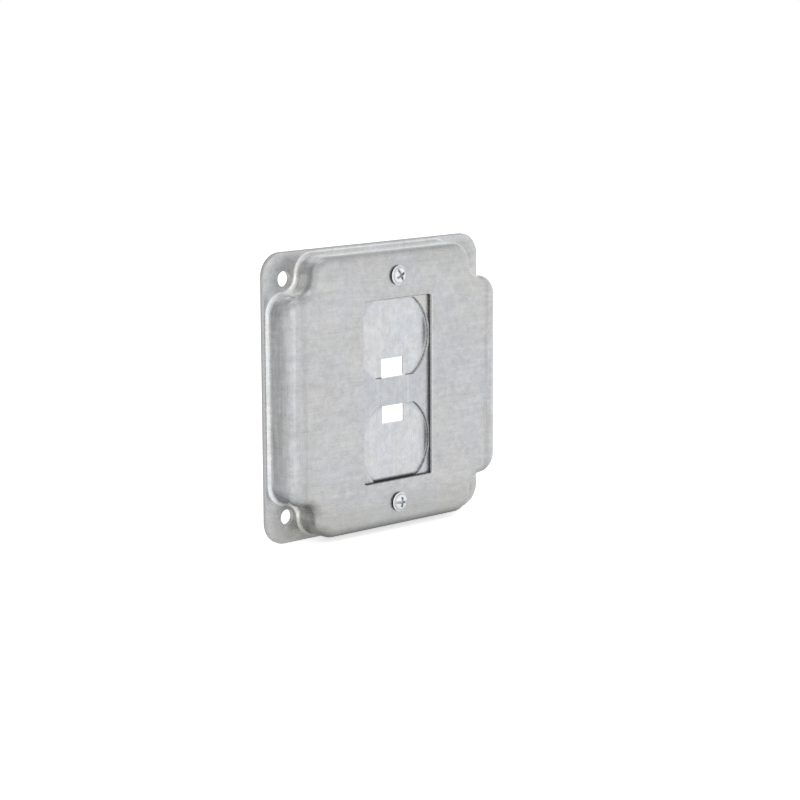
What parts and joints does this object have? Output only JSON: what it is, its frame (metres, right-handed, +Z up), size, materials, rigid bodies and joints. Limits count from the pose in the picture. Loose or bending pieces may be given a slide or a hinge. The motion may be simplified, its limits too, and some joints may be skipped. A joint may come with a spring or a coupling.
{
  "type": "raised square box cover",
  "caption": "Raised square sheet-steel cover for a wall box, with notched corners, a device opening, and a screwed-on knockout plate behind it.",
  "frame": {"origin": "middle of the flange's back face, centre of the four corner screw holes", "axes": "+Z up, +X to the right seen from the front, +Y towards the wall box, so the face looks along -Y"},
  "size_m": [0.1048, 0.0163, 0.1048],
  "materials": {
    "cover_steel": "galvanized sheet, fine rolling grain",
    "plate_steel": "galvanized sheet, upright rolling grain",
    "screw_zinc": "bright zinc plate",
    "nut_zinc": "zinc plate"
  },
  "bodies": {
    "root": {"raised_cover": "cover_steel", "device_plate": "plate_steel", "upper_screw": "screw_zinc", "lower_screw": "screw_zinc", "upper_nut": "nut_zinc", "lower_nut": "nut_zinc"}
  },
  "joints": []
}
